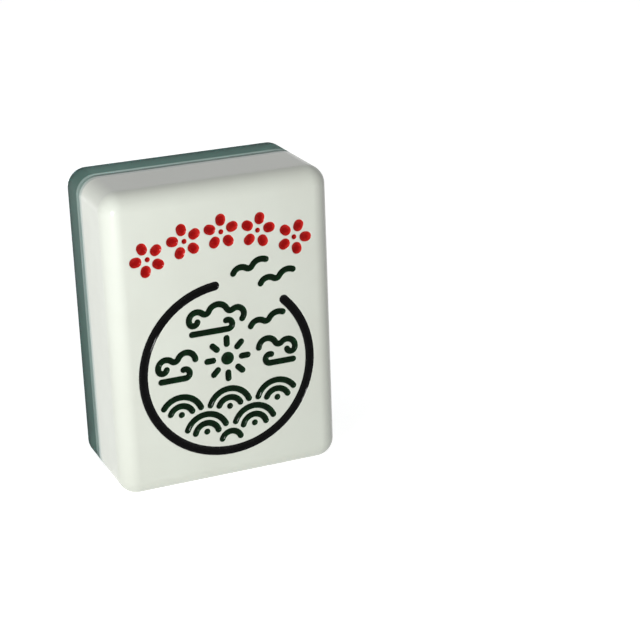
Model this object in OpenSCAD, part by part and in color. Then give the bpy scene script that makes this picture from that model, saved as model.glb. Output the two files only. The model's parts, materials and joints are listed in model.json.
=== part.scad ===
// Mahjong tile. A white block carries the engraved face, whose grooves hold coloured enamel.
// A clear block is bonded to its back, over a printed sheet of woven cloth.
// The tile stands on its lower end, with its face towards -Y.

/* [Tile] */
// Width of the tile
tile_w = 22.4; // [19:0.1:30]
// Height of the tile
tile_h = 30; // [26:0.1:40]
// Radius of the four corners, seen square to the face
corner_r = 1.9; // [1.2:0.05:3]

/* [White face block] */
// Thickness of the white block
block_d = 7.8; // [5:0.1:11]
// Radius round the edge of the face
face_fillet = 1.8; // [0.8:0.05:2.2]
// Bevel round the white block's back, along the seam
block_bevel = 0.2; // [0.05:0.01:0.4]

/* [Clear back] */
// Thickness of the clear block
back_d = 4.5; // [2.5:0.1:8]
// Radius round the edge of the back
back_fillet = 1.2; // [0.5:0.05:2]
// Bevel round the clear block's foot, along the seam
back_bevel = 0.04; // [0.02:0.01:0.2]
// Thickness of the woven cloth under the clear block
cloth_t = 0.3; // [0.15:0.05:0.6]
// Thickness of the glue between the cloth and the white block
glue_t = 0.1; // [0.05:0.01:0.2]

/* [Engraving] */
// Depth of every groove
groove_depth = 0.3; // [0.2:0.01:0.4]
// Depth of the enamel's surface under the face
enamel_drop = 0.08; // [0.02:0.01:0.15]
// Thinnest wall between two strokes of the picture in the ring
line_wall = 0.22; // [0.12:0.01:0.4]

/* [Ring] */
// Width of the ring's groove
ring_w = 0.88; // [0.6:0.01:1.2]
// Room between the ring and the rounded edge of the face at its sides
ring_margin = 0.5; // [0.3:0.05:2]
// Room between the ring and the rounded edge of the face at its foot
ring_foot = 0.9; // [0.3:0.05:2]
// Angle where the ring's gap starts, counterclockwise from the right
gap_start = 45; // [25:1:55]
// Angle where the ring's gap ends
gap_end = 96; // [90:1:130]

/* [Row of blossoms] */
// Room between the outer blossoms and the rounded edge of the face
blossom_margin = 0.35; // [0.2:0.05:1.5]
// Room between the middle blossom and the rounded edge of the face over it
blossom_top = 1.25; // [0.5:0.05:2]
// Room between two blossoms, measured across the tile
blossom_gap = 0.12; // [0.05:0.01:0.5]
// Radius of the bow that the blossoms stand on
bow_r = 17.6; // [14:0.1:30]
// Straight length of a petal between its round ends
petal_l = 0.2; // [0.05:0.01:0.3]
// Thinnest wall between two petals
petal_wall = 0.25; // [0.12:0.01:0.4]
// Width of the dot in the middle of a blossom
eye_w = 0.5; // [0.3:0.01:0.65]

/* [Sun] */
// Width of the sun's dot
sun_w = 1.3; // [0.8:0.05:1.6]
// Number of sunbeams
beam_count = 8; // [5:1:9]

/* [Print on the cloth] */
// Thickness of the printed ink
ink_t = 0.05; // [0.03:0.01:0.1]
// Height of the flower's middle over the middle of the back
flower_rise = 1.8; // [0:0.1:3]
// Place of the flower's middle to the right, as seen from behind
flower_shift = 1; // [-1:0.1:2]
// Radius of the flower's round heart
heart_r = 0.55; // [0.4:0.05:0.8]
// Bare cloth between the heart, the petals, the stem and the leaves
print_gap = 0.35; // [0.2:0.01:0.5]
// Length of an inner petal
inner_petal_l = 2.4; // [1.8:0.1:3]
// Width of an inner petal
inner_petal_w = 1; // [0.6:0.05:1.1]
// Length of an outer petal
outer_petal_l = 4.2; // [3:0.1:4.6]
// Width of an outer petal
outer_petal_w = 2; // [1.2:0.05:2.2]
// Width of the stem
stem_w = 0.4; // [0.25:0.01:0.6]
// Radius that the stem bends with
stem_bow = 14; // [10:0.5:24]
// Length of a leaf
leaf_l = 5.2; // [3.5:0.1:5.6]
// Width of a leaf
leaf_w = 1.7; // [1:0.05:2]

/* [Hidden] */
$fn = 72;
// Layers, with the tile laid on its back: height of each one's underside
cloth_z = back_d;
glue_z = cloth_z + cloth_t;
block_z = glue_z + glue_t;
tile_d = block_z + block_d;
// A rim's radius leaves a small flat inside the corner's own radius
least_flat = 0.05;
face_rim = min(face_fillet, corner_r - least_flat);
back_rim = min(back_fillet, corner_r - least_flat);
// Flat part of the face, from its middle to where the rim starts
flat_x = tile_w / 2 - face_rim;
flat_y = tile_h / 2 - face_rim;
// How far a groove's cutter reaches out over the face
cut_over = 0.05;
// How far the facets of a stroke may stray from its arcs
facet_sag = 0.008;
// Blossoms, in equal steps across the tile
blossom_count = 5;
petal_count = 5;
blossom_r = (flat_x - blossom_margin - 2 * blossom_gap) / blossom_count;
blossom_step = 2 * blossom_r + blossom_gap;
blossom_y = flat_y - blossom_top - blossom_r;
petal_half_turn = sin(180 / petal_count);
petal_w = (2 * petal_half_turn * (blossom_r - petal_l) - petal_wall) / (1 + petal_half_turn);
petal_root = blossom_r - petal_w / 2 - petal_l;
// The picture is drawn in units, 8 of which fill the ring. The birds reach up to bird_top units.
ring_units = 8;
bird_top = 10.8;
sky = 2 * flat_y - ring_foot - blossom_top - 2 * blossom_r;
ring_by_height = (sky + bird_top / ring_units * ring_w) / (1 + bird_top / ring_units);
ring_outer = min(flat_x - ring_margin, ring_by_height);
ring_r = ring_outer - ring_w / 2;
ring_y = ring_foot + ring_outer - flat_y;
unit = (ring_outer - ring_w) / ring_units;
// The picture's centre lines lie at least this far apart
line_spacing = unit * 0.84;
line_w = line_spacing - line_wall;
// Scales of the sea
scale_r = unit * 2.1;
scale_inner_r = unit * 1.2;
scale_dot_rise = unit * 0.3;
scale_step = unit * 2.45;
scale_row = unit * 2.2;
sea_y = unit * -6.4;
// Sun and its beams
sun_y = unit;
beam_start = unit * 1.45;
beam_l = unit * 0.6;
// Legs of the strokes: [radius, turn] bends, to the left for a turn over 0, and [0, length] is straight
curl = [[0.42 * unit, -150], [0.8 * unit, -150], [0.4 * unit, 110]];
small_crest = [[0.9 * unit, -150]];
large_crest = [[unit, -130], [0.4 * unit, 100], [0.7 * unit, -170]];
wings = [[0.9 * unit, -100], [0.4 * unit, 95], [1.1 * unit, -85]];
hook = [0.45 * unit, 200];
curl_heading = -105;
wing_heading = 65;
base_offset = [-0.6 * unit, -1.15 * unit];
// Print: six petals in each wreath, and a stem under the flower
wreath_count = 6;
inner_start = heart_r + print_gap;
outer_start = inner_start + 2 * print_gap;
stem_start = inner_start + inner_petal_l + print_gap;
stem_turn = 27;

// Stands the tile up from lying on its back
module stand() {
    translate([0, tile_d / 2, tile_h / 2])
        rotate([90, 0, 0])
            children();
}

// Blocks and sheets

// Lays a section round the tile's outline, outwards from the axis of each corner, and fills the middle
module round_outline(depth) {
    reach = [tile_w / 2 - corner_r, tile_h / 2 - corner_r];
    translate([-reach.x, -reach.y, 0])
        cube([2 * reach.x, 2 * reach.y, depth]);
    for (quarter = [0 : 3]) {
        across = reach[quarter % 2];
        along = reach[(quarter + 1) % 2];
        rotate([0, 0, 90 * quarter])
            translate([across, along, 0]) {
                rotate_extrude(angle = 90)
                    children();
                rotate([90, 0, 0])
                    linear_extrude(2 * along)
                        children();
            }
    }
}

// Section of a block's edge: bevelled below, rounded above
module rim_section(depth, rim, bevel) {
    inner = corner_r - rim;
    polygon([
        [0, 0],
        [corner_r - bevel, 0],
        [corner_r, bevel],
        [corner_r, depth - rim],
        [inner, depth - rim],
        [inner, depth],
        [0, depth]
    ]);
    translate([inner, depth - rim])
        intersection() {
            circle(rim);
            square(rim);
        }
}

module rounded_block(depth, rim, bevel) {
    round_outline(depth)
        rim_section(depth, rim, bevel);
}

// Sheet between the blocks, trimmed flush with their sides
module seam_sheet(thickness) {
    round_outline(thickness)
        square([corner_r, thickness]);
}

// Grooves and the enamel in them

// Height of a groove's cutter, or of the enamel that fills the groove
function fill_h(cut) = cut ? groove_depth + cut_over : groove_depth - enamel_drop;

// Lays an outline in the face, as a cutter or as enamel
module fill(cut) {
    translate([0, 0, -groove_depth])
        linear_extrude(fill_h(cut))
            children();
}

// A pose is [x, y, heading], and a leg is [radius, turn], or [0, length] where it is straight
function ahead(pose, leg) =
    let (bend = sign(leg[1]) * leg[0], heading = pose.z + leg[1])
    leg[0] == 0
    ? [pose.x + leg[1] * cos(pose.z), pose.y + leg[1] * sin(pose.z), pose.z]
    : [
        pose.x + bend * (sin(heading) - sin(pose.z)),
        pose.y - bend * (cos(heading) - cos(pose.z)),
        heading
    ];
// Number of facets on a turn, so that none strays further than facet_sag from its arc
function facets(radius, turn) = ceil(abs(turn) / (2 * acos(1 - facet_sag / radius)));
function leg_poses(pose, leg, width) =
    let (count = leg[0] == 0 ? 1 : facets(leg[0] + width / 2, leg[1]))
    [for (step = [1 : count]) ahead(pose, [leg[0], leg[1] * step / count])];
// Poses along all the legs, after the first pose
function walk(pose, legs, width, index = 0) =
    index == len(legs)
    ? []
    : let (passed = leg_poses(pose, legs[index], width))
      concat(passed, walk(passed[len(passed) - 1], legs, width, index + 1));
// Point beside a pose, at an angle from its heading
function beside(pose, angle, distance) =
    [pose.x + distance * cos(pose.z + angle), pose.y + distance * sin(pose.z + angle)];
// Points of a round end, from one side of a pose to the other
function round_end(pose, from, distance) =
    let (count = facets(distance, 180))
    [for (step = [1 : count - 1]) beside(pose, from - 180 * step / count, distance)];

// Stroke with round ends along the legs that start at a pose
module stroke(start, legs, width, cut) {
    poses = concat([start], walk(start, legs, width));
    last = len(poses) - 1;
    half = width / 2;
    fill(cut)
        polygon(concat(
            [for (pose = poses) beside(pose, 90, half)],
            round_end(poses[last], 90, half),
            [for (index = [last : -1 : 0]) beside(poses[index], -90, half)],
            round_end(start, -90, half)
        ));
}

module arc_stroke(centre, radius, from, to, width, cut) {
    start = [centre.x + radius * cos(from), centre.y + radius * sin(from), from + 90];
    stroke(start, [[radius, to - from]], width, cut);
}

module dot(place, width, cut) {
    fill(cut)
        translate(place)
            circle(width / 2);
}

// The picture on the face, as cutters or as enamel

module on_face() {
    translate([0, 0, tile_d])
        children();
}

module in_ring() {
    translate([0, ring_y, tile_d])
        children();
}

module ring(cut) {
    in_ring()
        arc_stroke([0, 0], ring_r, gap_end, gap_start + 360, ring_w, cut);
}

// Five petals round a dot, the upper one pointing away from the middle of the bow
module blossom(index, cut) {
    x = (index - (blossom_count + 1) / 2) * blossom_step;
    lean = asin(x / bow_r);
    on_face()
        translate([x, blossom_y - bow_r * (1 - cos(lean)), 0])
            rotate([0, 0, -lean]) {
                dot([0, 0], eye_w, cut);
                for (petal = [0 : petal_count - 1])
                    rotate([0, 0, 360 / petal_count * petal])
                        stroke([0, petal_root, 90], [[0, petal_l]], petal_w, cut);
            }
}

module sun(cut) {
    in_ring()
        dot([0, sun_y], sun_w, cut);
}

module sunbeams(cut) {
    in_ring()
        translate([0, sun_y, 0])
            for (beam = [0 : beam_count - 1])
                rotate([0, 0, 360 / beam_count * beam])
                    stroke([0, beam_start, 90], [[0, beam_l]], line_w, cut);
}

// Cloud with a curl at its left end, over a base line with a hook at its right end
module cloud(place, crest, base_l, cut) {
    in_ring()
        translate([place.x * unit, place.y * unit, 0]) {
            stroke([0, 0, curl_heading], concat(curl, crest), line_w, cut);
            stroke([base_offset.x, base_offset.y, 0], [[0, base_l * unit], hook], line_w, cut);
        }
}

module left_cloud(cut) {
    cloud([-6.1, 0.9], small_crest, 2.4, cut);
}

module right_cloud(cut) {
    mirror([1, 0, 0])
        left_cloud(cut);
}

module upper_cloud(cut) {
    cloud([-2.8, 5.1], large_crest, 3.6, cut);
}

// One scale of the sea: two arcs over a dot
module sea_scale(column, row, outer_from, outer_to, inner_from, cut) {
    centre = [column * scale_step, sea_y + row * scale_row];
    in_ring() {
        arc_stroke(centre, scale_r, outer_from, outer_to, line_w, cut);
        arc_stroke(centre, scale_inner_r, inner_from, 180 - inner_from, line_w, cut);
        dot([centre.x, centre.y + scale_dot_rise], line_w, cut);
    }
}

// The row in front has two scales, over one small wave
module front_sea(cut) {
    for (column = [-1, 1])
        sea_scale(column, 0, 22, 158, 14, cut);
    in_ring()
        arc_stroke([0, sea_y - 1.1 * unit], unit, 20, 160, line_w, cut);
}

module left_sea(cut) {
    sea_scale(-2, 1, 20, 145, 25, cut);
}

module middle_sea(cut) {
    sea_scale(0, 1, 20, 160, 25, cut);
}

module right_sea(cut) {
    sea_scale(2, 1, 35, 160, 25, cut);
}

module bird(place, cut) {
    in_ring()
        stroke([place.x * unit, place.y * unit, wing_heading], wings, line_w, cut);
}

// Two birds fly in the ring's gap, and the third under them
module first_bird(cut) {
    bird([1, 9.3], cut);
}

module second_bird(cut) {
    bird([3.7, 7.9], cut);
}

module third_bird(cut) {
    bird([2.5, 3.8], cut);
}

module face_cutters() {
    ring(true);
    for (index = [1 : blossom_count])
        blossom(index, true);
    sun(true);
    sunbeams(true);
    left_cloud(true);
    right_cloud(true);
    upper_cloud(true);
    front_sea(true);
    left_sea(true);
    middle_sea(true);
    right_sea(true);
    first_bird(true);
    second_bird(true);
    third_bird(true);
}

// The print, which lies on the cloth and is let into the clear block. It is drawn as seen from behind.

module print_layer() {
    translate([-flower_shift, flower_rise, cloth_z - ink_t])
        mirror([1, 0, 0])
            children();
}

// Pointed petal or leaf from the origin along +Y
module leaf_shape(length, width) {
    side_r = (length * length + width * width) / (4 * width);
    linear_extrude(ink_t)
        translate([0, length / 2])
            intersection() {
                translate([side_r - width / 2, 0])
                    circle(side_r);
                translate([width / 2 - side_r, 0])
                    circle(side_r);
            }
}

module wreath(start, length, width, turn) {
    print_layer()
        for (petal = [0 : wreath_count - 1])
            rotate([0, 0, 360 / wreath_count * petal + turn])
                translate([0, start, 0])
                    leaf_shape(length, width);
}

module outer_petals() {
    wreath(outer_start, outer_petal_l, outer_petal_w, 180 / wreath_count);
}

module inner_petals() {
    wreath(inner_start, inner_petal_l, inner_petal_w, 0);
}

// Puts a shape on the stem's bow, this many degrees down from the flower and this far off its centre line
module along_stem(turn, offset) {
    print_layer()
        translate([-stem_bow, -stem_start, 0])
            rotate([0, 0, -turn])
                translate([stem_bow + offset, 0, 0])
                    children();
}

module stem() {
    print_layer() {
        cylinder(h = ink_t, r = heart_r);
        translate([-stem_bow, -stem_start, 0])
            rotate([0, 0, -stem_turn])
                rotate_extrude(angle = stem_turn)
                    translate([stem_bow - stem_w / 2, 0])
                        square([stem_w, ink_t]);
    }
}

module leaves() {
    stand_off = stem_w / 2 + print_gap;
    along_stem(18, -stand_off)
        rotate([0, 0, 80])
            leaf_shape(leaf_l, leaf_w);
    along_stem(15, stand_off)
        rotate([0, 0, -62])
            leaf_shape(leaf_l, leaf_w);
}

// Pieces

module face_block() {
    color("ivory")
        stand()
            difference() {
                translate([0, 0, block_z])
                    rounded_block(block_d, face_rim, block_bevel);
                face_cutters();
            }
}

module glue_line() {
    color("honeydew")
        stand()
            translate([0, 0, glue_z])
                seam_sheet(glue_t);
}

module cloth_sheet() {
    color("teal")
        stand()
            translate([0, 0, cloth_z])
                seam_sheet(cloth_t);
}

module clear_back() {
    color("paleturquoise", 0.4)
        stand()
            difference() {
                translate([0, 0, back_d])
                    mirror([0, 0, 1])
                        rounded_block(back_d, back_rim, back_bevel);
                outer_petals();
                inner_petals();
                leaves();
                stem();
            }
}

// Filling of one part of the picture, in its colour
module enamel(tone) {
    color(tone)
        stand()
            children();
}

module ring_enamel() {
    enamel("black")
        ring(false);
}

module blossom_enamel(index) {
    enamel("firebrick")
        blossom(index, false);
}

module sun_enamel() {
    enamel("darkgreen")
        sun(false);
}

module sunbeam_enamel() {
    enamel("darkgreen")
        sunbeams(false);
}

module left_cloud_enamel() {
    enamel("darkgreen")
        left_cloud(false);
}

module right_cloud_enamel() {
    enamel("darkgreen")
        right_cloud(false);
}

module upper_cloud_enamel() {
    enamel("darkgreen")
        upper_cloud(false);
}

module front_sea_enamel() {
    enamel("darkgreen")
        front_sea(false);
}

module left_sea_enamel() {
    enamel("darkgreen")
        left_sea(false);
}

module middle_sea_enamel() {
    enamel("darkgreen")
        middle_sea(false);
}

module right_sea_enamel() {
    enamel("darkgreen")
        right_sea(false);
}

module first_bird_enamel() {
    enamel("darkgreen")
        first_bird(false);
}

module second_bird_enamel() {
    enamel("darkgreen")
        second_bird(false);
}

module third_bird_enamel() {
    enamel("darkgreen")
        third_bird(false);
}

module outer_petal_ink() {
    color("mediumorchid")
        stand()
            outer_petals();
}

module inner_petal_ink() {
    color("lightsteelblue")
        stand()
            inner_petals();
}

module leaf_ink() {
    color("aquamarine")
        stand()
            leaves();
}

module stem_ink() {
    color("slategray")
        stand()
            stem();
}

face_block();
glue_line();
cloth_sheet();
clear_back();
ring_enamel();
blossom_enamel(1);  // blossom_enamel_1
blossom_enamel(2);  // blossom_enamel_2
blossom_enamel(3);  // blossom_enamel_3
blossom_enamel(4);  // blossom_enamel_4
blossom_enamel(5);  // blossom_enamel_5
sun_enamel();
sunbeam_enamel();
left_cloud_enamel();
right_cloud_enamel();
upper_cloud_enamel();
front_sea_enamel();
left_sea_enamel();
middle_sea_enamel();
right_sea_enamel();
first_bird_enamel();
second_bird_enamel();
third_bird_enamel();
outer_petal_ink();
inner_petal_ink();
leaf_ink();
stem_ink();
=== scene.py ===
"""Looks of the mahjong tile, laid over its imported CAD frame.

The white block is cut again with rounder edges and chamfered grooves, the enamel gets its hollow surface,
the cloth is woven thread by thread, and the clear back is cast over it. The glue and the printed inks are
the CAD nodes themselves.
"""

import json
import math

import bmesh
import bpy
import numpy as np
from bpy.props import FloatProperty, FloatVectorProperty, IntProperty, PointerProperty
from mathutils import Matrix, Vector


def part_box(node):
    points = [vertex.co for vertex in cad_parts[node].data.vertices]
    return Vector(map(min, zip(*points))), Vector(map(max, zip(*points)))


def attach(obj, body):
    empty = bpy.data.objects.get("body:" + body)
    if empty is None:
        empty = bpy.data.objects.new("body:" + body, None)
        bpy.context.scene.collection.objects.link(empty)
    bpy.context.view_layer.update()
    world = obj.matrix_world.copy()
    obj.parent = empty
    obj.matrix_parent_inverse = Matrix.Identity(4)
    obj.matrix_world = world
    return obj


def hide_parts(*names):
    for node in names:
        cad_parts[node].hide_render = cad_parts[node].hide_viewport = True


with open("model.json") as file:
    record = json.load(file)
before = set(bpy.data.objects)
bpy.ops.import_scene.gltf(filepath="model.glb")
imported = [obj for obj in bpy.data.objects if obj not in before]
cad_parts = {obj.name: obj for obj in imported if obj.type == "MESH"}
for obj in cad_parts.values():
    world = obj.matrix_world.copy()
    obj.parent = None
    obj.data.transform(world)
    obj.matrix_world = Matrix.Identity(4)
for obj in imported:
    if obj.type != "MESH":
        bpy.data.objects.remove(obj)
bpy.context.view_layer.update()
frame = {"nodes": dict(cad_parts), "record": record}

bl_info = {
    "name": "Mahjong Tile Looks",
    "version": (1, 0, 0),
    "blender": (4, 5, 0),
    "location": "3D View > Sidebar > Tile",
    "description": "Dresses the packed mahjong tile and sets its stage",
    "category": "Object",
}

MM = 0.001
BODY = "root"
ENAMEL_SLOTS = ("black_enamel", "red_enamel", "green_enamel")
ACRYLIC_IOR = 1.49
# What the dull sides of the clear back add to its roughness, and where on its rounded rim they end
SIDE_ROUGHNESS = 0.75
SIDE_END = 0.3
# Distances from the flower's middle, in millimetres, between which each ink's colour changes
PRINT_REACH = {"outer_petal": (2, 5.6), "inner_petal": (1, 3.2), "leaf": (5, 9), "stem": (2, 9)}
# Points of a thread from one crossing to the next and across it, and its height as a share of the crimp
POINTS_PER_CROSSING = 3.0
PROFILE_POINTS = 5
PROFILE_HEIGHT = 1.3
# Share of a stroke's half width that its hollow reaches over
HOLLOW_REACH = 0.95
# Strength of the light from all round, and of the floor's own glow to the eye, where 1 is white
WORLD_LIGHT = 0.24
FLOOR_GLOW = 0.79
SENSOR_WIDTH = 36
LAMP_TARGET = (0, 0, 0.015)
# Name, place in metres, width and height in metres, power in watts, and whether glossy surfaces mirror it
LAMPS = (
    ("key_lamp", (-0.10, -0.115, 0.034), (0.022, 0.022), 0.15, True),
    ("back_lamp", (-0.02, 0.20, 0.014), (0.10, 0.02), 0.13, False),
)


def nodes_of(slot):
    """Names of the CAD nodes that take their finish from a material slot of the record."""
    return [s["node"] for s in frame["record"]["subparts"] if s["material_slot"] == slot]


# Sizes and colours that the looks add to the frame


def length_of(name, description, millimetres):
    """A length that a user can change."""
    return FloatProperty(name=name, description=description, default=millimetres * MM, unit="LENGTH")


def share_of(name, description, default):
    """A share from 0 to 1 that a user can change."""
    return FloatProperty(name=name, description=description, default=default, min=0, max=1, subtype="FACTOR")


def colour_of(name, description, *linear):
    """A colour that a user can change."""
    return FloatVectorProperty(
        name=name, description=description, default=linear, subtype="COLOR", size=3, min=0, max=1)


class BlockLook(bpy.types.PropertyGroup):
    """White block and its grooves."""

    corner: length_of("Corner Radius", "Radius of the corners, seen square to the face", 1.9)
    rim: length_of("Face Rim", "Radius round the edge of the face", 1.8)
    seam: length_of("Seam Rounding", "Radius round the block's back, along the seam", 0.2)
    chamfer: length_of("Groove Chamfer", "Chamfer along the rims of the grooves", 0.035)
    # How far the painted light from the cloth, scattered into the resin, reaches from the seam
    seam_scatter_light_reach: length_of("Seam Tint Reach", "How far the cloth's colour shows in the resin", 0.9)
    steps: IntProperty(name="Arc Steps", description="Steps of each rounded edge", default=16, min=4)
    resin: colour_of("Resin", "Colour of the resin", 0.83, 0.87, 0.78)
    cloud: colour_of("Clouded Resin", "Colour of the resin where it is clouded", 0.79, 0.82, 0.73)
    dust: colour_of("Dust", "Colour of the dust caught in the surface", 0.16, 0.15, 0.12)
    # Seam Tint is painted light: the cloth's green scattered into the translucent resin, painted along the
    # seam
    seam_scatter_light: colour_of("Seam Tint", "Colour of the resin along the cloth", 0.48, 0.58, 0.53)


class EnamelLook(bpy.types.PropertyGroup):
    """Enamel in the grooves. Each colour has a thinner tone at the rim of a stroke."""

    hollow: length_of("Hollow", "How far the middle of a stroke sinks under its rim", 0.18)
    steps: IntProperty(
        name="Steps", description="Steps from the rim to the middle of a stroke", default=6, min=2)
    black: colour_of("Black", "Black enamel", 0.001, 0.001, 0.001)
    black_rim: colour_of("Black Rim", "Black enamel where it is thin", 0.006, 0.006, 0.007)
    red: colour_of("Red", "Red enamel", 0.34, 0.002, 0.002)
    red_rim: colour_of("Red Rim", "Red enamel where it is thin", 0.60, 0.02, 0.015)
    green: colour_of("Green", "Green enamel", 0.001, 0.010, 0.002)
    green_rim: colour_of("Green Rim", "Green enamel where it is thin", 0.004, 0.034, 0.009)


class ClothLook(bpy.types.PropertyGroup):
    """Weave of the cloth, and the glue under it."""

    warp_pitch: length_of("Warp Pitch", "Distance between upright threads", 0.53)
    weft_pitch: length_of("Weft Pitch", "Distance between level threads", 0.41)
    cover: share_of("Cover", "Width of a thread as a share of its pitch", 0.9)
    crimp: length_of("Crimp", "How far a thread rises and falls at the crossings", 0.035)
    slub: share_of("Slub", "Unevenness of the threads' width", 0.35)
    wander: length_of("Wander", "How far a thread strays sideways", 0.06)
    seed: IntProperty(name="Seed", description="Seed of the unevenness", default=7)
    warp: colour_of("Warp", "Upright threads, where they cross over", 0.0, 0.07, 0.08)
    weft: colour_of("Weft", "Level threads", 0.002, 0.20, 0.21)
    # Thread Edge colour: random fibre tone, and the painted highlight round each crossing
    fibre_tone_and_edge_sheen: colour_of("Thread Edge", "Pale outline of the crossings", 0.04, 0.54, 0.54)
    # Ground colour also paints the shade where the threads dip under
    ground: colour_of("Ground", "What shows between the threads", 0.002, 0.06, 0.062)
    cut: colour_of("Cut Edge", "Edge of the cloth, where it is cut and soaked with resin", 0.26, 0.36, 0.32)
    cut_width: length_of("Cut Edge Width", "How far the cut edge reaches in over the cloth", 0.05)
    glue: colour_of("Glue", "Line of glue round the seam", 0.28, 0.38, 0.34)


class PrintLook(bpy.types.PropertyGroup):
    """Inks on the cloth. Each runs from a near colour to a far one, seen from the flower's middle."""

    outer_petal_near: colour_of("Outer Petal", "Root of the outer petals", 0.62, 0.55, 0.80)
    outer_petal_far: colour_of("Outer Petal Tip", "Tip of the outer petals", 0.42, 0.12, 0.40)
    outer_petal_streak: colour_of("Outer Petal Streak", "Streaks of the outer petals", 0.12, 0.012, 0.13)
    inner_petal_near: colour_of("Inner Petal", "Root of the inner petals", 0.30, 0.36, 0.75)
    inner_petal_far: colour_of("Inner Petal Tip", "Tip of the inner petals", 0.62, 0.66, 0.90)
    inner_petal_streak: colour_of("Inner Petal Streak", "Streaks of the inner petals", 0.75, 0.68, 0.86)
    leaf_near: colour_of("Leaf", "Root of the leaves", 0.06, 0.60, 0.28)
    leaf_far: colour_of("Leaf Tip", "Tip of the leaves", 0.30, 0.80, 0.62)
    leaf_streak: colour_of("Leaf Streak", "Streaks of the leaves", 0.03, 0.34, 0.22)
    stem_near: colour_of("Stem", "Heart of the flower and root of the stem", 0.25, 0.26, 0.36)
    stem_far: colour_of("Stem End", "Lower end of the stem", 0.05, 0.07, 0.12)
    stem_streak: colour_of("Stem Streak", "Streaks of the stem", 0.12, 0.22, 0.2)


class BackLook(bpy.types.PropertyGroup):
    """Clear back."""

    rim: length_of("Back Rim", "Radius round the edge of the back", 1.2)
    tuck: length_of("Tuck", "How far the clear back stays inside the cloth's edge", 0.005)
    soak: length_of("Soak", "How deep the clear resin soaks into the cloth", 0.23)
    # How far the painted light along the cloth reaches up the dull sides
    foot_reach: length_of("Foot Reach", "How far the pale foot of the dull sides reaches", 0.55)
    tint: colour_of("Clear Resin", "Tint of the clear resin", 0.95, 0.99, 0.98)
    # The dull sides' dark tint is painted shade, standing in for the cloth seen in shade through them
    side: colour_of("Side", "Tint of the dull sides", 0.006, 0.022, 0.016)
    # The pale foot is painted light from the white block, leaking into the clear back along the cloth
    foot: colour_of("Foot", "Tint of the dull sides along the cloth", 0.09, 0.14, 0.12)


class StageLook(bpy.types.PropertyGroup):
    """Camera and floor."""

    camera_at: FloatVectorProperty(
        name="Camera", description="Place of the camera", subtype="TRANSLATION", size=3,
        default=(-53.344 * MM, -157.554 * MM, 73.705 * MM))
    right: FloatVectorProperty(
        name="Picture's Right", description="Direction to the right in the picture", subtype="DIRECTION",
        size=3, default=(0.91811, -0.39503, -0.03216))
    ahead: FloatVectorProperty(
        name="Line of Sight", description="Direction that the camera looks in", subtype="DIRECTION", size=3,
        default=(0.36192, 0.86868, -0.33825))
    lens: FloatProperty(
        name="Focal Length", description="Focal length in millimetres", default=101.13, min=1)
    floor: FloatProperty(name="Floor Size", description="Side of the floor", default=4, unit="LENGTH")
    sunk: length_of("Floor Gap", "Gap that keeps the floor out of the clear back's own surface", 0.03)
    paper: colour_of("Floor", "Colour of the floor", 0.81, 0.81, 0.81)


class TileLook(bpy.types.PropertyGroup):
    """All sizes and colours of the looks."""

    block: PointerProperty(type=BlockLook, name="Block", description="White block")
    enamel: PointerProperty(type=EnamelLook, name="Enamel", description="Enamel in the grooves")
    cloth: PointerProperty(type=ClothLook, name="Cloth", description="Woven cloth")
    print: PointerProperty(type=PrintLook, name="Print", description="Inks on the cloth")
    back: PointerProperty(type=BackLook, name="Back", description="Clear back")
    stage: PointerProperty(type=StageLook, name="Stage", description="Camera and floor")


# Meshes


def outline(low, high, corner, steps):
    """Points of a rounded rectangle in the plane of the face, and the outward direction at each."""
    reach = np.array([(high.x - low.x) / 2 - corner, (high.z - low.z) / 2 - corner])
    middle = np.array([(high.x + low.x) / 2, (high.z + low.z) / 2])
    points, outward = [], []
    for quarter in range(4):
        sign = np.array([1 if quarter in (0, 3) else -1, 1 if quarter in (0, 1) else -1])
        for step in range(steps + 1):
            angle = math.radians(90 * (quarter + step / steps))
            direction = np.array([math.cos(angle), math.sin(angle)])
            points.append(middle + sign * reach + corner * direction)
            outward.append(direction)
    return np.array(points), np.array(outward)


def rounding(flat, radius, towards, steps):
    """Rings of a rounded edge, from the side to a flat end at y, as pairs of outward offset and y."""
    rings = []
    for step in range(steps + 1):
        angle = math.radians(90 * step / steps)
        rings.append((radius * (math.cos(angle) - 1), flat - towards * radius * (1 - math.sin(angle))))
    return rings


def stack(points, outward, edges, cap, rings):
    """Vertices and faces of a solid made of rings, each the outline moved outwards by an offset and laid at
    a y. An offset is a number, or one for each point. cap is the list of faces that closes both ends."""
    count = len(points)
    vertices = []
    for offset, y in rings:
        moved = points + outward * np.reshape(offset, (-1, 1))
        vertices.append(np.column_stack((moved[:, 0], np.broadcast_to(y, count), moved[:, 1])))
    faces = [tuple(reversed(f)) for f in cap]
    for level in range(len(rings) - 1):
        low, high = level * count, (level + 1) * count
        faces += [(low + a, low + b, high + b, high + a) for a, b in edges]
    last = (len(rings) - 1) * count
    faces += [tuple(last + i for i in f) for f in cap]
    return np.concatenate(vertices), faces


def slab(name, points, outward, rings):
    """Closed mesh of a solid with one outline all the way up, moved by the offsets of its rings."""
    count = len(points)
    edges = [(i, (i + 1) % count) for i in range(count)]
    return closed_mesh(name, *stack(points, outward, edges, [tuple(range(count))], rings))


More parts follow.
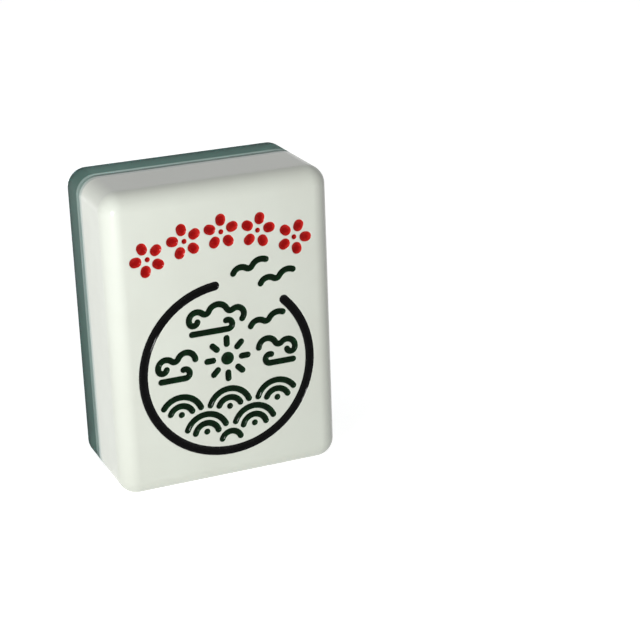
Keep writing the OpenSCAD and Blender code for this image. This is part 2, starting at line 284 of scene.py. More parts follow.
class Fill:
    """Outlines of an enamel node's strokes, read from the face of its CAD solids."""

    def __init__(self, node):
        bm = bmesh.new()
        bm.from_mesh(frame["nodes"][node].data)
        bmesh.ops.scale(bm, vec=(1000, 1000, 1000), verts=bm.verts)
        bmesh.ops.remove_doubles(bm, verts=bm.verts, dist=1e-4)
        bm.normal_update()
        low = min(v.co.y for v in bm.verts)
        self.bottom = max(v.co.y for v in bm.verts) * MM
        top = [f for f in bm.faces if all(v.co.y < low + 1e-3 for v in f.verts)]
        index, points = {}, []
        for face in top:
            for v in face.verts:
                if v not in index:
                    index[v] = len(points)
                    points.append((v.co.x * MM, v.co.z * MM))
        self.points = np.array(points)
        self.cap = [tuple(index[v] for v in f.verts) for f in top]
        in_top = set(top)
        self.edges = [
            (index[l.vert], index[l.link_loop_next.vert])
            for f in top for l in f.loops if not all(g in in_top for g in l.edge.link_faces)
        ]
        inner = [e for f in top for e in f.edges if all(g in in_top for g in e.link_faces)]
        across = [(index[e.verts[0]], index[e.verts[1]]) for e in inner]
        bm.free()
        self.outward = np.zeros_like(self.points)
        for a, b in self.edges:
            along = self.points[b] - self.points[a]
            normal = np.array([along[1], -along[0]]) / np.linalg.norm(along)
            self.outward[a] += normal
            self.outward[b] += normal
        self.outward /= np.linalg.norm(self.outward, axis=1, keepdims=True)
        self.half_width = self.measure(across)

    def measure(self, across):
        """Half the width of the stroke that each point belongs to."""
        group = list(range(len(self.points)))

        def root(i):
            while group[i] != i:
                group[i] = group[group[i]]
                i = group[i]
            return i

        for a, b in self.edges:
            group[root(a)] = root(b)
        for a, b in across:
            group[root(a)] = root(b)
        starts = np.array([self.points[a] for a, b in self.edges])
        spans = np.array([self.points[b] - self.points[a] for a, b in self.edges])
        widest = {}
        for a, b in across:
            middle = (self.points[a] + self.points[b]) / 2
            share = np.clip(((middle - starts) * spans).sum(1) / (spans ** 2).sum(1), 0, 1)
            near = np.linalg.norm(starts + spans * share[:, None] - middle, axis=1).min()
            widest[root(a)] = max(widest.get(root(a), 0), near)
        return np.array([widest[root(i)] for i in range(len(self.points))])


def closed_mesh(name, vertices, faces):
    """A mesh in metres from vertices and faces, with its normals outwards."""
    mesh = bpy.data.meshes.new(name)
    mesh.from_pydata([tuple(v) for v in vertices], [], faces)
    bm = bmesh.new()
    bm.from_mesh(mesh)
    bmesh.ops.recalc_face_normals(bm, faces=bm.faces)
    bm.to_mesh(mesh)
    bm.free()
    return mesh


def shade(mesh, angle=32):
    """Smooth shading, with edges sharp where the faces turn by more than an angle."""
    bm = bmesh.new()
    bm.from_mesh(mesh)
    for face in bm.faces:
        face.smooth = True
    for edge in bm.edges:
        edge.smooth = edge.is_manifold and edge.calc_face_angle(0) < math.radians(angle)
    bm.to_mesh(mesh)
    bm.free()


def mark(mesh, name, values):
    """Stores a value for each vertex, which a material reads."""
    attribute = mesh.attributes.new(name, "FLOAT", "POINT")
    attribute.data.foreach_set("value", np.clip(values, 0, 1).astype(np.float32))


def heights(mesh):
    """The y of each vertex of a mesh."""
    places = np.empty(3 * len(mesh.vertices), np.float32)
    mesh.vertices.foreach_get("co", places)
    return places[1::3]


def new_object(name, mesh, material=None):
    """An object in the scene for a mesh."""
    obj = bpy.data.objects.new(name, mesh)
    bpy.context.scene.collection.objects.link(obj)
    if material:
        mesh.materials.clear()
        mesh.materials.append(material)
    return obj


def baked(obj):
    """The mesh of an object with its modifiers applied; the modifiers are removed."""
    bpy.context.view_layer.update()
    graph = bpy.context.evaluated_depsgraph_get()
    mesh = bpy.data.meshes.new_from_object(
        obj.evaluated_get(graph), preserve_all_data_layers=True, depsgraph=graph)
    obj.modifiers.clear()
    obj.data = mesh
    return mesh


def even_normals(obj):
    """Lets the large flat faces set the normals where they meet a rounded edge."""
    modifier = obj.modifiers.new("Even Normals", "WEIGHTED_NORMAL")
    modifier.mode = "FACE_AREA"
    modifier.weight = 50
    modifier.keep_sharp = True


def settle(obj, slot, *nodes):
    """Lets a finished piece ride on the body and stand for its CAD nodes."""
    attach(obj, BODY)
    if nodes:
        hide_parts(*nodes)
    return obj


def refinish(node, material):
    """Gives a CAD node that stays in the scene another material."""
    materials = frame["nodes"][node].data.materials
    materials.clear()
    materials.append(material)


# Node trees


def add(tree, kind, inputs=None, **settings):
    """A new node. Inputs that are sockets are linked, and others are set."""
    node = tree.nodes.new(kind)
    for name, value in settings.items():
        setattr(node, name, value)
    for key, value in (inputs or {}).items():
        if isinstance(value, bpy.types.NodeSocket):
            tree.links.new(value, node.inputs[key])
        else:
            node.inputs[key].default_value = value
    return node


def calc(tree, operation, *values):
    """Output of a Math node."""
    return add(tree, "ShaderNodeMath", dict(enumerate(values)), operation=operation).outputs[0]


def remap(tree, value, low, high, to_low=0.0, to_high=1.0):
    """A value carried from one range into another, and held inside it."""
    inputs = {"Value": value, "From Min": low, "From Max": high, "To Min": to_low, "To Max": to_high}
    return add(tree, "ShaderNodeMapRange", inputs).outputs[0]


def mix(tree, share, a, b):
    """Colour between two colours."""
    return add(tree, "ShaderNodeMix", {0: share, 6: a, 7: b}, data_type="RGBA").outputs[2]


def noise(tree, vector, scale, detail=2.0, roughness=0.5):
    """Value of a noise texture."""
    inputs = {"Vector": vector, "Scale": scale, "Detail": detail, "Roughness": roughness}
    return add(tree, "ShaderNodeTexNoise", inputs).outputs["Fac"]


def stretch(tree, vector, factors):
    """A vector times a factor on each axis."""
    return add(tree, "ShaderNodeVectorMath", {0: vector, 1: factors}, operation="MULTIPLY").outputs[0]


def parts(tree, vector):
    """The three parts of a vector."""
    return add(tree, "ShaderNodeSeparateXYZ", {0: vector}).outputs


def along_axis(tree, axis, value):
    """A vector along one axis."""
    return add(tree, "ShaderNodeCombineXYZ", {axis: value}).outputs[0]


def rgb(red, green, blue):
    """An opaque colour."""
    return (red, green, blue, 1.0)


def object_place(tree):
    """Place on the piece."""
    return add(tree, "ShaderNodeTexCoord").outputs["Object"]


def marked(tree, name):
    """Value that the mesh stores under a name."""
    return add(tree, "ShaderNodeAttribute", attribute_name=name).outputs["Fac"]


def group_tree(name, inputs, outputs):
    """A new shader node group and its ends. Each socket is a name and, for an input, a default."""
    tree = bpy.data.node_groups.new(name, "ShaderNodeTree")
    for label, default in inputs:
        socket = tree.interface.new_socket(label, in_out="INPUT", socket_type="NodeSocketFloat")
        socket.default_value = default
    for label in outputs:
        tree.interface.new_socket(label, in_out="OUTPUT", socket_type="NodeSocketFloat")
    return tree, tree.nodes.new("NodeGroupInput").outputs, tree.nodes.new("NodeGroupOutput").inputs


def use_group(tree, name, **inputs):
    """Outputs of a shader node group in a tree."""
    node = tree.nodes.new("ShaderNodeGroup")
    node.node_tree = bpy.data.node_groups[name]
    for key, value in inputs.items():
        node.inputs[key.replace("_", " ")].default_value = value
    return node.outputs


def make_handling_group():
    """Traces of handling on a polished surface: haze, hairline scratches and a few specks of dust."""
    tree, given, out = group_tree(
        "Handling", [("Haze", 0.05), ("Scratches", 0.03), ("Specks", 0.0)], ["Roughness", "Height", "Speck"])
    place = object_place(tree)
    haze = calc(tree, "MULTIPLY", remap(tree, noise(tree, place, 260, 3), 0.35, 0.7), given["Haze"])
    lines = noise(tree, stretch(tree, place, (2600, 2600, 120)), 1.0, 1)
    hair = calc(tree, "MULTIPLY", remap(tree, lines, 0.66, 0.74), given["Scratches"])
    cells = add(tree, "ShaderNodeTexVoronoi", {"Vector": place, "Scale": 420.0})
    chosen = add(tree, "ShaderNodeSeparateColor", {"Color": cells.outputs["Color"]}).outputs[0]
    size = remap(tree, chosen, 0.93, 1.0, 0.0, 0.045)
    dot = calc(tree, "LESS_THAN", cells.outputs["Distance"], size)
    tree.links.new(calc(tree, "ADD", haze, hair), out["Roughness"])
    tree.links.new(noise(tree, place, 900, 2), out["Height"])
    tree.links.new(calc(tree, "MULTIPLY", dot, given["Specks"]), out["Speck"])


def make_fabric_group():
    """Tone of a plain weave: 1 where an upright thread lies over, and 0 where it lies under."""
    tree, given, out = group_tree("Fabric Tone", [("Warp Pitch", 0.5), ("Weft Pitch", 0.4)], ["Tone"])
    place = parts(tree, object_place(tree))
    waves = []
    for axis, pitch in ((0, "Warp Pitch"), (2, "Weft Pitch")):
        half_turns = calc(tree, "DIVIDE", place[axis], given[pitch])
        waves.append(calc(tree, "COSINE", calc(tree, "MULTIPLY", half_turns, math.pi)))
    tree.links.new(remap(tree, calc(tree, "MULTIPLY", *waves), -1.0, 1.0), out["Tone"])


def new_material(name):
    """A new material, its tree and its Principled shader."""
    material = bpy.data.materials.new(name)
    material.use_nodes = True
    tree = material.node_tree
    return material, tree, tree.nodes["Principled BSDF"]


def feed(tree, shader, **inputs):
    """Sets or links inputs of a shader; underscores stand for spaces."""
    for key, value in inputs.items():
        socket = shader.inputs[key.replace("_", " ")]
        if isinstance(value, bpy.types.NodeSocket):
            tree.links.new(value, socket)
        else:
            socket.default_value = value


def bump(tree, height, strength, distance):
    """Normal of a bump."""
    inputs = {"Height": height, "Strength": strength, "Distance": distance}
    return add(tree, "ShaderNodeBump", inputs).outputs[0]


def resin_material(look, seam):
    """White cast resin, polished and handled. Along the seam, at a y, painted light stands in for the
    cloth's green scattered into the resin.
    """
    material, tree, shader = new_material("white_resin")
    place = object_place(tree)
    cloud = remap(tree, noise(tree, place, 130, 3), 0.3, 0.7)
    white = mix(tree, cloud, rgb(*look.cloud), rgb(*look.resin))
    # Painted light: the cloth's green, scattered into the resin, painted in along the seam
    near = remap(tree, parts(tree, place)[1], seam - look.seam_scatter_light_reach, seam - 0.6 * look.seam_scatter_light_reach)
    white = mix(tree, near, white, rgb(*look.seam_scatter_light))
    traces = use_group(tree, "Handling", Haze=0.08, Scratches=0.03, Specks=0.75)
    feed(tree, shader, Base_Color=mix(tree, traces["Speck"], white, rgb(*look.dust)),
         Roughness=calc(tree, "ADD", traces["Roughness"], 0.17),
         Normal=bump(tree, traces["Height"], 0.03, 0.05 * MM))
    return material


def enamel_material(name, deep, thin):
    """Glossy enamel, deep in the middle of a stroke and thinner at its rim."""
    material, tree, shader = new_material(name)
    place = object_place(tree)
    blot = remap(tree, noise(tree, place, 2200, 3), 0.3, 0.7, -0.35, 0.35)
    uneven = calc(tree, "ADD", marked(tree, "sunk"), blot)
    traces = use_group(tree, "Handling", Haze=0.1, Scratches=0.05)
    feed(tree, shader, Base_Color=mix(tree, remap(tree, uneven, 0.1, 0.9), thin, deep),
         Roughness=calc(tree, "ADD", traces["Roughness"], 0.06),
         Normal=bump(tree, noise(tree, place, 1900, 2), 0.35, 0.05 * MM), Specular_IOR_Level=0.06)
    return material


def glue_material(look):
    """Thin glue that shows as a pale line round the seam."""
    material, tree, shader = new_material("glue")
    blot = remap(tree, noise(tree, object_place(tree), 900, 3), 0.25, 0.75)
    stain = calc(tree, "MULTIPLY", blot, 0.3)
    feed(tree, shader, Base_Color=mix(tree, stain, rgb(*look.glue), rgb(*look.weft)),
         Roughness=remap(tree, blot, 0, 1, 0.25, 0.45), Normal=bump(tree, blot, 0.2, 0.02 * MM))
    return material


def thread_material(look):
    """Dyed yarn. Where an upright thread crosses over, it shows as a dark cell with a painted pale highlight
    round it, and painted shade darkens the threads where they dip under.
    """
    material, tree, shader = new_material("cloth_thread")
    place = object_place(tree)
    edge, yarn, level = [marked(tree, name) for name in ("edge", "yarn", "level")]
    half_turn = calc(tree, "MULTIPLY", marked(tree, "turn"), math.pi)
    crown = calc(tree, "MULTIPLY_ADD", calc(tree, "COSINE", half_turn), 0.5, 0.5)
    fibre = remap(tree, noise(tree, place, 9000, 3, 0.6), 0.3, 0.7)
    blot = remap(tree, noise(tree, place, 1700, 2), 0.3, 0.7, -0.2, 0.2)
    patch = remap(tree, noise(tree, place, 420, 2), 0.35, 0.65, 0.4, 1.0)
    along = calc(tree, "MULTIPLY_ADD", crown, -2.0, 2.0)
    squares = [calc(tree, "POWER", part, 2.0) for part in (edge, along)]
    away = calc(tree, "ADD", calc(tree, "SQRT", calc(tree, "ADD", *squares)), blot)
    # Painted highlight: a pale outline round each crossing, where the thread's edges would catch light
    edge_sheen = calc(tree, "MULTIPLY", remap(tree, away, 0.5, 0.85), remap(tree, away, 1.05, 1.4, 1.0, 0.0))
    edge_sheen = calc(tree, "MULTIPLY", edge_sheen, calc(tree, "MULTIPLY", patch, remap(tree, level, 0, 1, 1.0, 0.5)))
    dye = mix(tree, level, rgb(*look.warp), rgb(*look.weft))
    dye = mix(tree, calc(tree, "MULTIPLY", yarn, 0.3), dye, rgb(*look.ground))
    dye = mix(tree, calc(tree, "MULTIPLY", fibre, 0.2), dye, rgb(*look.fibre_tone_and_edge_sheen))
    dye = mix(tree, edge_sheen, dye, rgb(*look.fibre_tone_and_edge_sheen))
    # Painted shade: the threads darken towards the ground colour where they dip under
    feed(tree, shader, Base_Color=mix(tree, remap(tree, crown, 0.0, 0.3, 0.5, 0.0), dye, rgb(*look.ground)),
         Roughness=remap(tree, fibre, 0, 1, 0.55, 0.8), Normal=bump(tree, fibre, 0.4, 0.02 * MM),
         Specular_IOR_Level=0.0)
    return material


def ground_material(look):
    """Ground that shows between the threads, with its pale cut edge."""
    material, tree, shader = new_material("cloth_ground")
    blot = remap(tree, noise(tree, object_place(tree), 1500, 3), 0.3, 0.7)
    dye = mix(tree, calc(tree, "MULTIPLY", blot, 0.4), rgb(*look.ground), rgb(*look.weft))
    feed(tree, shader, Base_Color=mix(tree, marked(tree, "cut"), dye, rgb(*look.cut)),
         Roughness=remap(tree, blot, 0, 1, 0.6, 0.85), Normal=bump(tree, blot, 0.3, 0.02 * MM),
         Specular_IOR_Level=0.0)
    return material


def clear_material(look, seam):
    """Clear cast resin with dull sides, whose dark tint is painted shade, with a painted pale strip of light
    along the cloth. Lamps shine straight through it onto the cloth.
    """
    material, tree, shader = new_material("clear_acrylic")
    satin = marked(tree, "satin")
    place = parts(tree, object_place(tree))[1]
    # Painted shade on the dull sides, and painted light in a pale strip along the cloth
    near = remap(tree, place, seam + 0.6 * look.foot_reach, seam + look.foot_reach, 1.0, 0.0)
    sides = mix(tree, near, rgb(*look.side), rgb(*look.foot))
    traces = use_group(tree, "Handling", Haze=0.02, Scratches=0.03)
    dull = calc(tree, "MULTIPLY_ADD", satin, SIDE_ROUGHNESS, traces["Roughness"])
    feed(tree, shader, Base_Color=mix(tree, satin, rgb(*look.tint), sides), Roughness=dull,
         Transmission_Weight=1.0, IOR=ACRYLIC_IOR, Specular_Tint=rgb(0.1, 0.1, 0.1))
    clear = add(tree, "ShaderNodeBsdfTransparent", {"Color": rgb(0.93, 0.97, 0.96)})
    path = add(tree, "ShaderNodeLightPath")
    join = add(tree, "ShaderNodeMixShader",
               {0: path.outputs["Is Shadow Ray"], 1: shader.outputs[0], 2: clear.outputs[0]})
    tree.links.new(join.outputs[0], tree.nodes["Material Output"].inputs["Surface"])
    return material


def ink_material(name, centre, near, far, streak, reach, cloth):
    """Ink on the cloth, shaded from the flower's middle outwards, with streaks and the weave showing."""
    material, tree, shader = new_material(name)
    ends = {0: object_place(tree), 1: centre}
    away = add(tree, "ShaderNodeVectorMath", ends, operation="SUBTRACT").outputs[0]
    across, _, upward = parts(tree, away)
    distance = add(tree, "ShaderNodeVectorMath", {0: away}, operation="LENGTH").outputs["Value"]
    angle = calc(tree, "ARCTAN2", upward, across)
    polar = add(tree, "ShaderNodeCombineXYZ", {0: calc(tree, "MULTIPLY", angle, 9.0),
                                               1: calc(tree, "MULTIPLY", distance, 240.0)}).outputs[0]
    veins = remap(tree, noise(tree, polar, 1.6, 2), 0.42, 0.62)
    tint = mix(tree, remap(tree, distance, *reach), rgb(*near), rgb(*far))
    tint = mix(tree, calc(tree, "MULTIPLY", veins, 0.75), tint, rgb(*streak))
    tone = use_group(tree, "Fabric Tone", Warp_Pitch=cloth.warp_pitch, Weft_Pitch=cloth.weft_pitch)["Tone"]
    feed(tree, shader, Base_Color=mix(tree, remap(tree, tone, 0.5, 1.0, 0.0, 0.3), tint, rgb(*cloth.warp)),
         Roughness=remap(tree, veins, 0, 1, 0.5, 0.7), Normal=bump(tree, tone, 0.25, 0.03 * MM),
         Specular_IOR_Level=0.0)
    return material


def trimmed(tree, cloth, given):
    """Cloth with what lies outside the rounded corners of its outline cut away."""
    at = parts(tree, add(tree, "GeometryNodeInputPosition").outputs[0])
    beyond = []
    for axis, size in enumerate(("Width", "Height")):
        straight = calc(tree, "SUBTRACT", calc(tree, "MULTIPLY", given[size], 0.5), given["Corner"])
        past = calc(tree, "SUBTRACT", calc(tree, "ABSOLUTE", at[axis]), straight)
        beyond.append(calc(tree, "POWER", calc(tree, "MAXIMUM", past, 0.0), 2.0))
    outside = calc(tree, "GREATER_THAN", calc(tree, "SQRT", calc(tree, "ADD", *beyond)), given["Corner"])
    inputs = {"Geometry": cloth, "Selection": outside}
    return add(tree, "GeometryNodeDeleteGeometry", inputs, domain="POINT").outputs[0]


def stored(tree, geometry, label, value):
    """Geometry with a value stored on its points."""
    inputs = {"Geometry": geometry, "Name": label, "Value": value}
    return add(tree, "GeometryNodeStoreNamedAttribute", inputs, data_type="FLOAT", domain="POINT").outputs[0]


def weave_tree():
    """Geometry nodes of a plain weave, upright in the plane of the cloth."""
    tree = bpy.data.node_groups.new("Plain Weave", "GeometryNodeTree")
    sockets = {label: "NodeSocketFloat" for label in (
        "Width", "Height", "Corner", "Warp Pitch", "Weft Pitch", "Cover", "Crimp", "Slub", "Wander")}
    for label, kind in {**sockets, "Seed": "NodeSocketInt", "Material": "NodeSocketMaterial"}.items():
        tree.interface.new_socket(label, in_out="INPUT", socket_type=kind)
    tree.interface.new_socket("Threads", in_out="OUTPUT", socket_type="NodeSocketGeometry")
    given = tree.nodes.new("NodeGroupInput").outputs
    pitches = [given["Warp Pitch"], given["Weft Pitch"]]
    counts, firsts = [], []
    for pitch, span in zip(pitches, (given["Width"], given["Height"])):
        counts.append(calc(tree, "FLOOR", calc(tree, "DIVIDE", span, pitch)))
        gaps = calc(tree, "SUBTRACT", counts[-1], 1.0)
        firsts.append(calc(tree, "MULTIPLY", calc(tree, "MULTIPLY", gaps, pitch), -0.5))
    join = tree.nodes.new("GeometryNodeJoinGeometry")
    for level in (0, 1):
        spaced, run = level, 1 - level
        length = given[("Height", "Width")[level]]
        half = calc(tree, "MULTIPLY", length, 0.5)
        line = add(tree, "GeometryNodeCurvePrimitiveLine", {
            "Start": along_axis(tree, run, calc(tree, "MULTIPLY", half, -1.0)),
            "End": along_axis(tree, run, half)})
        crossings = calc(tree, "DIVIDE", length, pitches[run])
        count = calc(tree, "MULTIPLY_ADD", crossings, POINTS_PER_CROSSING, 1.0)
        fine = add(tree, "GeometryNodeResampleCurve", {"Curve": line.outputs[0], "Count": count})
        row = add(tree, "GeometryNodeMeshLine", {
            "Count": counts[level], "Start Location": along_axis(tree, spaced, firsts[level]),
            "Offset": along_axis(tree, spaced, pitches[level])})
        placed = add(tree, "GeometryNodeInstanceOnPoints", {
            "Points": row.outputs[0], "Instance": fine.outputs[0]})
        threads = add(tree, "GeometryNodeRealizeInstances", {0: placed.outputs[0]}).outputs[0]
        spot = add(tree, "GeometryNodeInputPosition").outputs[0]
        at = parts(tree, spot)
        steps = [calc(tree, "DIVIDE", calc(tree, "SUBTRACT", at[axis], firsts[axis]), pitches[axis])
                 for axis in (0, 1)]
        lane = calc(tree, "ROUND", steps[spaced])
        turn = calc(tree, "ADD", calc(tree, "ADD", lane, steps[run]), float(level))
        wave = calc(tree, "COSINE", calc(tree, "MULTIPLY", turn, math.pi))
        chance = {"ID": lane, "Seed": calc(tree, "ADD", given["Seed"], float(level))}
        yarn = add(tree, "FunctionNodeRandomValue", chance).outputs[1]
        offsets = add(tree, "ShaderNodeCombineXYZ", {0: calc(tree, "MULTIPLY", lane, 0.37),
                                                     1: calc(tree, "MULTIPLY", lane, 0.71)}).outputs[0]
        spread = stretch(tree, spot, (500, 500, 500))
        moved = add(tree, "ShaderNodeVectorMath", {0: spread, 1: offsets}).outputs[0]
        side = remap(tree, noise(tree, moved, 1.0, 2), 0.25, 0.75, -1, 1)
        shift = add(tree, "ShaderNodeCombineXYZ", {
            spaced: calc(tree, "MULTIPLY", side, given["Wander"]),
            2: calc(tree, "MULTIPLY", wave, given["Crimp"])}).outputs[0]
        for label, value in (("turn", turn), ("yarn", yarn), ("level", float(level))):
            threads = stored(tree, threads, label, value)
        thick = remap(tree, noise(tree, moved, 2.3, 2), 0.25, 0.75, -1, 1)
        size = calc(tree, "MULTIPLY_ADD", thick, given["Slub"], 1.0)
        size = calc(tree, "MULTIPLY", size, calc(tree, "MULTIPLY_ADD", yarn, 0.3, 0.85))
        threads = add(tree, "GeometryNodeSetCurveRadius", {"Curve": threads, "Radius": size}).outputs[0]
        threads = add(tree, "GeometryNodeSetPosition", {"Geometry": threads, "Offset": shift}).outputs[0]
        threads = add(tree, "GeometryNodeSetCurveNormal", {"Curve": threads}, mode="Z_UP").outputs[0]
        half_circle = {
            "Resolution": PROFILE_POINTS, "Radius": 1.0, "Start Angle": 0.0, "Sweep Angle": math.pi}
        arc = add(tree, "GeometryNodeCurveArc", half_circle, mode="RADIUS").outputs[0]
        arc_at = parts(tree, add(tree, "GeometryNodeInputPosition").outputs[0])
        arc = stored(tree, arc, "edge", calc(tree, "ABSOLUTE", arc_at[0]))
        width = calc(tree, "MULTIPLY", calc(tree, "MULTIPLY", pitches[level], given["Cover"]), 0.5)
        flat = add(tree, "ShaderNodeCombineXYZ", {
            0: width, 1: calc(tree, "MULTIPLY", given["Crimp"], PROFILE_HEIGHT), 2: 1.0}).outputs[0]
        profile = add(tree, "GeometryNodeTransform", {"Geometry": arc, "Scale": flat}).outputs[0]
        swept = {"Curve": threads, "Profile Curve": profile}
        ribbon = add(tree, "GeometryNodeCurveToMesh", swept).outputs[0]
        tree.links.new(trimmed(tree, ribbon, given), join.inputs[0])
    smooth = add(tree, "GeometryNodeSetShadeSmooth", {0: join.outputs[0]}).outputs[0]
    turned = {"Geometry": smooth, "Rotation": (-math.pi / 2, 0, 0)}
    upright = add(tree, "GeometryNodeTransform", turned).outputs[0]
    real = add(tree, "GeometryNodeRealizeInstances", {0: upright}).outputs[0]
    dyed = add(tree, "GeometryNodeSetMaterial", {"Geometry": real, "Material": given["Material"]}).outputs[0]
    tree.links.new(dyed, tree.nodes.new("NodeGroupOutput").inputs[0])
    return tree


def give(modifier, label, value):
    """Sets an input of a Geometry Nodes modifier by its name."""
    for item in modifier.node_group.interface.items_tree:
        if item.item_type == "SOCKET" and item.in_out == "INPUT" and item.name == label:
            modifier[item.identifier] = value


# Pieces


class TILE_OT_block(bpy.types.Operator):
    """Make the white block with its grooves"""

    bl_idname = "tile.block"
    bl_label = "White Block"

    def execute(self, context):
        look = context.scene.tile_look.block
        low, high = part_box("face_block")
        points, outward = outline(low, high, look.corner, look.steps)
        seam = rounding(high.y, look.seam, 1, look.steps // 2)
        rings = seam[::-1] + rounding(low.y, look.rim, -1, look.steps)
        block = new_object("white_block", slab("white_block", points, outward, rings),
                           resin_material(look, high.y))
        vertices, faces, start = [], [], 0
        for slot in ENAMEL_SLOTS:
            for node in nodes_of(slot):
                fill = Fill(node)
                over = 0.6 * look.chamfer
                cut = [(0, fill.bottom), (0, low.y + look.chamfer), (look.chamfer + over, low.y - over)]
                more, shapes = stack(fill.points, fill.outward, fill.edges, fill.cap, cut)
                vertices.append(more)
                faces += [tuple(start + i for i in f) for f in shapes]
                start += len(more)
        cutter = new_object("cutter", closed_mesh("cutter", np.concatenate(vertices), faces))
        for obj in (block, cutter):
            obj.data.transform(Matrix.Scale(1 / MM, 4))
        modifier = block.modifiers.new("Grooves", "BOOLEAN")
        modifier.operation, modifier.solver, modifier.object = "DIFFERENCE", "EXACT", cutter
        mesh = baked(block)
        bpy.data.objects.remove(cutter)
        mesh.transform(Matrix.Scale(MM, 4))
        shade(mesh)
        even_normals(block)
        settle(block, "white_resin", "face_block")
        return {"FINISHED"}


class TILE_OT_enamel(bpy.types.Operator):
    """Make the enamel in the grooves, hollow between its rims"""

    bl_idname = "tile.enamel"
    bl_label = "Enamel"

    def execute(self, context):
        look = context.scene.tile_look
        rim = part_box("face_block")[0].y + look.block.chamfer
        for slot in ENAMEL_SLOTS:
            tone = slot.removesuffix("_enamel")
            deep, thin = getattr(look.enamel, tone), getattr(look.enamel, tone + "_rim")
            coat = enamel_material(slot, rgb(*deep), rgb(*thin))
            for node in nodes_of(slot):
                fill = Fill(node)
                rings = [(0, fill.bottom), (0, rim)]
                for step in range(1, look.enamel.steps + 1):
                    share = HOLLOW_REACH * step / look.enamel.steps
                    sunk = look.enamel.hollow * (1 - (1 - share) ** 2)
                    rings.append((-share * fill.half_width, rim + sunk))
                name = node + "_coat"
                mesh = closed_mesh(name, *stack(fill.points, fill.outward, fill.edges, fill.cap, rings))
                mark(mesh, "sunk", (heights(mesh) - rim) / look.enamel.hollow)
                shade(mesh, 60)
                settle(new_object(name, mesh, coat), slot, node)
        return {"FINISHED"}


class TILE_OT_glue(bpy.types.Operator):
    """Finish the line of glue"""

    bl_idname = "tile.glue"
    bl_label = "Glue"

    def execute(self, context):
        refinish("glue_line", glue_material(context.scene.tile_look.cloth))
        return {"FINISHED"}


class TILE_OT_cloth(bpy.types.Operator):
    """Weave the cloth over its ground"""

    bl_idname = "tile.cloth"
    bl_label = "Cloth"

    def execute(self, context):
        look, cloth = context.scene.tile_look, context.scene.tile_look.cloth
        low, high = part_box("cloth_sheet")
        width, height = high.x - low.x, high.z - low.z
        points, outward = outline(low, high, look.block.corner, look.block.steps)
        top = (low.y + high.y) / 2
        rings = [(0, low.y), (0, top), (-cloth.cut_width, top)]
        base = slab("cloth_ground", points, outward, rings)
        mark(base, "cut", np.repeat((1, 1, 0), len(points)))
        ground = new_object("cloth_ground", base, ground_material(cloth))
        threads = new_object("cloth_threads", bpy.data.meshes.new("cloth_threads"))
        modifier = threads.modifiers.new("Weave", "NODES")
        modifier.node_group = weave_tree()
        inside = 2 * look.back.tuck
        for label, value in (
            ("Width", width - 2 * inside), ("Height", height - 2 * inside),
            ("Corner", look.block.corner - inside),
            ("Warp Pitch", cloth.warp_pitch), ("Weft Pitch", cloth.weft_pitch), ("Cover", cloth.cover),
            ("Crimp", cloth.crimp), ("Slub", cloth.slub), ("Wander", cloth.wander), ("Seed", cloth.seed),
            ("Material", thread_material(cloth)),
        ):
            give(modifier, label, value)
        mesh = baked(threads)
        mesh.transform(Matrix.Translation((0, high.y - heights(mesh).max(), (low.z + high.z) / 2)))
        settle(ground, "cloth", "cloth_sheet")
        settle(threads, "cloth", "cloth_sheet")
        return {"FINISHED"}


class TILE_OT_print(bpy.types.Operator):
    """Finish the inks that are printed on the cloth"""

    bl_idname = "tile.print"
    bl_label = "Print"

    def execute(self, context):
        look = context.scene.tile_look
        low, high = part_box("inner_petal_ink")
        centre = tuple((low + high) / 2)
        for name, (start, end) in PRINT_REACH.items():
            reach = (start * MM, end * MM)
            tones = [getattr(look.print, f"{name}_{tone}") for tone in ("near", "far", "streak")]
            refinish(name + "_ink", ink_material(name + "_ink", centre, *tones, reach, look.cloth))
        return {"FINISHED"}


class TILE_OT_back(bpy.types.Operator):
    """Cast the clear back over the cloth"""

    bl_idname = "tile.back"
    bl_label = "Clear Back"

    def execute(self, context):
        look = context.scene.tile_look
        low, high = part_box("clear_back")
        points, outward = outline(low, high, look.block.corner, look.block.steps)
        rings = [(0, low.y - look.back.soak)] + rounding(high.y, look.back.rim, 1, look.block.steps)
        rings = [(offset - look.back.tuck, y) for offset, y in rings]
        mesh = slab("clear_cap", points, outward, rings)
        over_side = (heights(mesh) - high.y + look.back.rim) / look.back.rim
        # Where the dull sides are: rougher there, and carrying the painted shade and light of the side tints
        mark(mesh, "satin", 1 - over_side / SIDE_END)
        shade(mesh)
        cap = new_object("clear_cap", mesh, clear_material(look.back, low.y))
        even_normals(cap)
        settle(cap, "clear_acrylic", "clear_back")
        return {"FINISHED"}


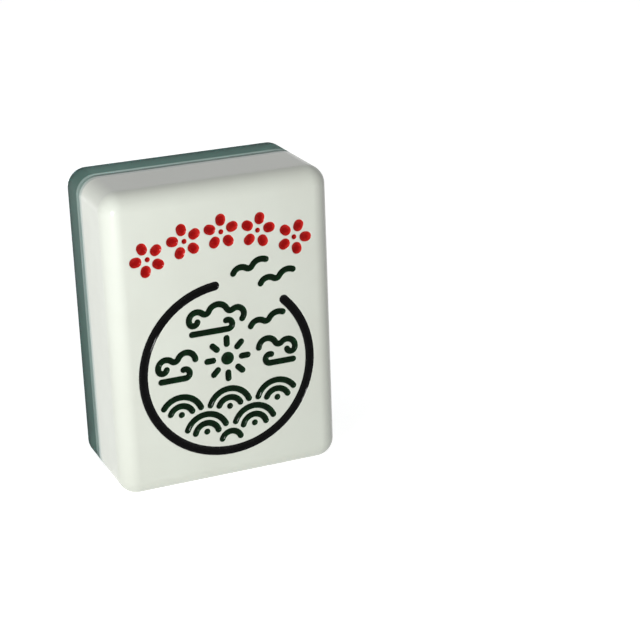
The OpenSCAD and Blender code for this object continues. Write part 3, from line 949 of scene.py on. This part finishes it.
class TILE_OT_stage(bpy.types.Operator):
    """Set the camera, the lamps, the floor and the background"""

    bl_idname = "tile.stage"
    bl_label = "Stage"

    def execute(self, context):
        scene, look = context.scene, context.scene.tile_look.stage
        right, ahead = Vector(look.right).normalized(), Vector(look.ahead).normalized()
        up = right.cross(ahead).normalized()
        camera = bpy.data.objects.new("camera", bpy.data.cameras.new("camera"))
        camera.data.lens, camera.data.sensor_width = look.lens, SENSOR_WIDTH
        camera.data.clip_start, camera.data.clip_end = 0.01, 20
        turn = Matrix((right, up, -ahead)).transposed().to_4x4()
        camera.matrix_world = Matrix.Translation(look.camera_at) @ turn
        scene.collection.objects.link(camera)
        scene.camera = camera
        half = look.floor / 2
        signs = ((-1, -1), (1, -1), (1, 1), (-1, 1))
        corners = [(x * half, y * half, -look.sunk) for x, y in signs]
        mesh = bpy.data.meshes.new("floor")
        mesh.from_pydata(corners, [], [(0, 1, 2, 3)])
        new_object("floor", mesh, self.floor_material(look))
        for name, spot, (wide, high), power, mirrored in LAMPS:
            lamp = bpy.data.lights.new(name, "AREA")
            lamp.energy, lamp.shape, lamp.size, lamp.size_y = power, "RECTANGLE", wide, high
            obj = bpy.data.objects.new(name, lamp)
            aim = (Vector(LAMP_TARGET) - Vector(spot)).to_track_quat("-Z", "Y")
            obj.matrix_world = Matrix.Translation(spot) @ aim.to_matrix().to_4x4()
            obj.visible_camera, obj.visible_glossy = False, mirrored
            scene.collection.objects.link(obj)
        self.background(scene)
        scene.view_settings.view_transform = "Standard"
        return {"FINISHED"}

    def seen(self, tree):
        """1 for rays that the eye follows, straight, by gloss or through the clear back, and 0 for light."""
        path = add(tree, "ShaderNodeLightPath").outputs
        kinds = [path["Is Camera Ray"], path["Is Glossy Ray"], path["Is Transmission Ray"]]
        return calc(tree, "MINIMUM", calc(tree, "ADD", calc(tree, "ADD", kinds[0], kinds[1]), kinds[2]), 1.0)

    def floor_material(self, look):
        """Pale floor that runs into the white background and keeps the shadow."""
        material, tree, shader = new_material("floor")
        cloud = remap(tree, noise(tree, object_place(tree), 40, 2), 0.3, 0.7, 0.0, 0.1)
        feed(tree, shader, Base_Color=mix(tree, cloud, rgb(*look.paper), rgb(0.9, 0.9, 0.9)), Roughness=0.9,
             Specular_IOR_Level=0.1)
        strength = calc(tree, "MULTIPLY", self.seen(tree), FLOOR_GLOW)
        glow = add(tree, "ShaderNodeEmission", {"Strength": strength})
        both = add(tree, "ShaderNodeAddShader", {0: shader.outputs[0], 1: glow.outputs[0]})
        tree.links.new(both.outputs[0], tree.nodes["Material Output"].inputs["Surface"])
        return material

    def background(self, scene):
        """White to the eye, and a softer light from all round."""
        scene.world = scene.world or bpy.data.worlds.new("World")
        scene.world.use_nodes = True
        tree = scene.world.node_tree
        sky = tree.nodes["Background"]
        sky.inputs["Color"].default_value = rgb(1, 1, 1)
        tree.links.new(remap(tree, self.seen(tree), 0, 1, WORLD_LIGHT, 1.0), sky.inputs["Strength"])


class TILE_PT_looks(bpy.types.Panel):
    """Lists the steps that dress the tile"""

    bl_idname = "TILE_PT_looks"
    bl_label = "Mahjong Tile"
    bl_space_type = "VIEW_3D"
    bl_region_type = "UI"
    bl_category = "Tile"

    def draw(self, context):
        for step in STEPS:
            self.layout.operator(step.bl_idname)


GROUPS = (BlockLook, EnamelLook, ClothLook, PrintLook, BackLook, StageLook, TileLook)
STEPS = (
    TILE_OT_block, TILE_OT_enamel, TILE_OT_glue, TILE_OT_cloth, TILE_OT_print, TILE_OT_back, TILE_OT_stage)


def register():
    for cls in (*GROUPS, *STEPS, TILE_PT_looks):
        bpy.utils.register_class(cls)
    bpy.types.Scene.tile_look = PointerProperty(type=TileLook)


def unregister():
    del bpy.types.Scene.tile_look
    for cls in reversed((*GROUPS, *STEPS, TILE_PT_looks)):
        bpy.utils.unregister_class(cls)


def main():
    register()
    make_handling_group()
    make_fabric_group()
    bpy.ops.tile.block()
    bpy.ops.tile.enamel()
    bpy.ops.tile.glue()
    bpy.ops.tile.cloth()
    bpy.ops.tile.print()
    bpy.ops.tile.back()
    bpy.ops.tile.stage()


if __name__ == "__main__":
    main()
